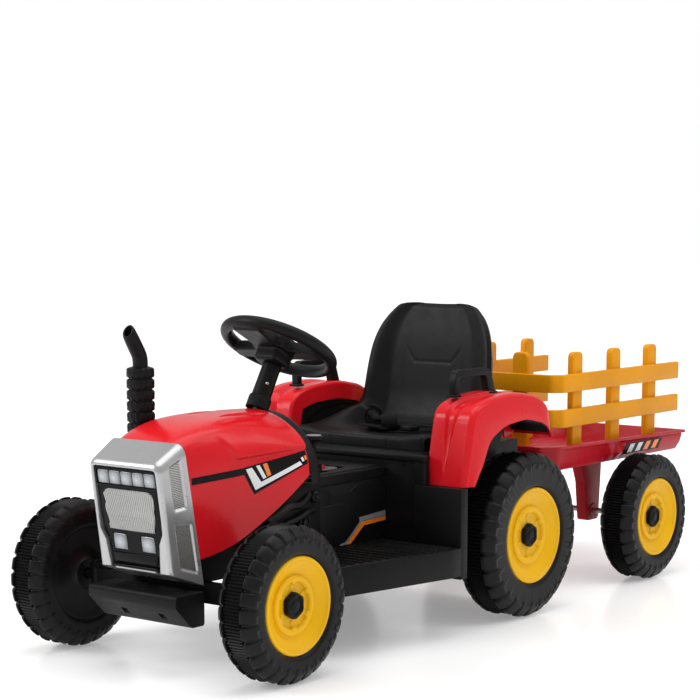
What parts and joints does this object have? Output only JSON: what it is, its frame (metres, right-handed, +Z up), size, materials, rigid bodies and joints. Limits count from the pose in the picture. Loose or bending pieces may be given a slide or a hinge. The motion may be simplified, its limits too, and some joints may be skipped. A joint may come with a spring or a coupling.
{
  "type": "ride-on toy tractor with trailer",
  "caption": "Child's battery ride-on tractor with steered front wheels, moulded seat and a hitched fenced tub trailer.",
  "frame": {"origin": "on the ground, under the middle of the whole train", "axes": "+Y towards the trailer's rear end, +X towards the driver's left, +Z up"},
  "size_m": [0.483, 1.35, 0.505],
  "materials": {
    "red_plastic": "glossy moulded red",
    "deep_red_plastic": "darker moulded red, semi-gloss",
    "amber_plastic": "semi-gloss moulded amber",
    "yellow_plastic": "semi-gloss moulded yellow",
    "black_plastic": "satin black, finely textured",
    "gloss_black": "polished black",
    "seat_plastic": "satin black seat shell",
    "webbing": "woven black webbing",
    "silver_paint": "metallic silver paint",
    "lens": "clear lamp lens",
    "grey_plastic": "dark grey plastic",
    "signal_red": "red push button",
    "steel": "black painted steel",
    "tyre": "satin black blow-moulded tyre"
  },
  "bodies": {
    "tractor": {"body_shell": "black_plastic", "running_boards": "black_plastic", "cowl": "black_plastic", "hood": "red_plastic", "grille_frame": "silver_paint", "grille_panel": "gloss_black", "grille_mesh": "silver_paint", "lamp_lenses": "lens", "front_bumper": "black_plastic", "exhaust_pipe": "black_plastic", "exhaust_bellows": "black_plastic", "steering_column": "black_plastic", "fender_left": "red_plastic", "fender_right": "red_plastic", "grab_handles": "black_plastic", "seat": "seat_plastic", "seat_belt": "webbing", "belt_buckle": "black_plastic", "battery": "grey_plastic", "control_box": "black_plastic", "gearboxes": "black_plastic", "motors": "steel", "rear_axle": "steel", "front_axle_beam": "steel", "hitch": "steel", "switch_plate": "black_plastic", "body_screws": "steel"},
    "steering": {"steering_wheel": "black_plastic", "steering_shaft": "steel"},
    "horn_left": {"horn_button_left": "grey_plastic"},
    "horn_right": {"horn_button_right": "grey_plastic"},
    "tie_rod": {"tie_rod": "steel"},
    "knuckle_left": {"knuckle_left": "steel"},
    "knuckle_right": {"knuckle_right": "steel"},
    "pedal": {"accelerator_pedal": "black_plastic"},
    "lever": {"gear_lever": "black_plastic"},
    "switch": {"power_switch": "signal_red"},
    "trailer": {"trailer_tub": "deep_red_plastic", "fence_panels": "amber_plastic", "trailer_legs": "deep_red_plastic", "trailer_axle": "steel", "drawbar": "deep_red_plastic"},
    "front_wheel_left": {"front_tyre_left": "tyre", "front_rim_left": "yellow_plastic", "front_cap_left": "gloss_black"},
    "front_wheel_right": {"front_tyre_right": "tyre", "front_rim_right": "yellow_plastic", "front_cap_right": "gloss_black"},
    "rear_wheel_left": {"rear_tyre_left": "tyre", "rear_rim_left": "yellow_plastic", "rear_cap_left": "gloss_black"},
    "rear_wheel_right": {"rear_tyre_right": "tyre", "rear_rim_right": "yellow_plastic", "rear_cap_right": "gloss_black"},
    "trailer_wheel_left": {"trailer_tyre_left": "tyre", "trailer_rim_left": "yellow_plastic", "trailer_cap_left": "gloss_black"},
    "trailer_wheel_right": {"trailer_tyre_right": "tyre", "trailer_rim_right": "yellow_plastic", "trailer_cap_right": "gloss_black"}
  },
  "joints": [
    {"name": "steer", "type": "hinge", "parent": "tractor", "child": "steering", "pos_m": [0, -0.322, 0.452], "axis": [0, 0.5, 0.866], "range_deg": [-40, 40]},
    {"name": "horn_left_press", "type": "slide", "parent": "steering", "child": "horn_left", "axis": [0, -0.5, -0.866], "range_m": [0, 0.002], "stiffness_N_per_m": 400, "springref_m": -0.001},
    {"name": "horn_right_press", "type": "slide", "parent": "steering", "child": "horn_right", "axis": [0, -0.5, -0.866], "range_m": [0, 0.002], "stiffness_N_per_m": 400, "springref_m": -0.001},
    {"name": "tie_rod_slide", "type": "slide", "parent": "tractor", "child": "tie_rod", "axis": [1, 0, 0], "range_m": [-0.0202, 0.0202]},
    {"name": "knuckle_left_turn", "type": "hinge", "parent": "tractor", "child": "knuckle_left", "pos_m": [0.16, -0.562, 0.113], "axis": [0, 0, 1], "range_deg": [-16.1, 16.1]},
    {"name": "knuckle_right_turn", "type": "hinge", "parent": "tractor", "child": "knuckle_right", "pos_m": [-0.16, -0.562, 0.113], "axis": [0, 0, 1], "range_deg": [-16.1, 16.1]},
    {"name": "pedal_press", "type": "hinge", "parent": "tractor", "child": "pedal", "pos_m": [-0.14015, -0.34, 0.146], "axis": [1, 0, 0], "range_deg": [0, 8], "stiffness_Nm_per_rad": 1.5, "springref_deg": -8.59},
    {"name": "gear_lever_tilt", "type": "hinge", "parent": "tractor", "child": "lever", "pos_m": [0.042, -0.29, 0.264], "axis": [1, 0, 0], "range_deg": [-12, 12]},
    {"name": "power_switch_press", "type": "slide", "parent": "tractor", "child": "switch", "axis": [0, 0, -1], "range_m": [0, 0.003], "stiffness_N_per_m": 400, "springref_m": -0.001},
    {"name": "trailer_swing", "type": "hinge", "parent": "tractor", "child": "trailer", "pos_m": [0, 0.155, 0.142], "axis": [0, 0, 1], "range_deg": [-15, 15]},
    {"name": "front_left_spin", "type": "hinge", "parent": "knuckle_left", "child": "front_wheel_left", "pos_m": [0.208, -0.562, 0.113], "axis": [1, 0, 0], "continuous": true},
    {"name": "rear_left_spin", "type": "hinge", "parent": "tractor", "child": "rear_wheel_left", "pos_m": [0.2025, 0.042, 0.135], "axis": [1, 0, 0], "continuous": true},
    {"name": "trailer_left_spin", "type": "hinge", "parent": "trailer", "child": "trailer_wheel_left", "pos_m": [0.196, 0.469, 0.113], "axis": [1, 0, 0], "continuous": true},
    {"name": "front_right_spin", "type": "hinge", "parent": "knuckle_right", "child": "front_wheel_right", "pos_m": [-0.208, -0.562, 0.113], "axis": [1, 0, 0], "continuous": true},
    {"name": "rear_right_spin", "type": "hinge", "parent": "tractor", "child": "rear_wheel_right", "pos_m": [-0.2025, 0.042, 0.135], "axis": [1, 0, 0], "continuous": true},
    {"name": "trailer_right_spin", "type": "hinge", "parent": "trailer", "child": "trailer_wheel_right", "pos_m": [-0.196, 0.469, 0.113], "axis": [1, 0, 0], "continuous": true}
  ],
  "couplings": [
    {"joint": "tie_rod_slide", "follows": "steer", "m_per_rad": -0.028751},
    {"joint": "knuckle_left_turn", "follows": "steer", "ratio": 0.4},
    {"joint": "knuckle_right_turn", "follows": "steer", "ratio": 0.4}
  ]
}
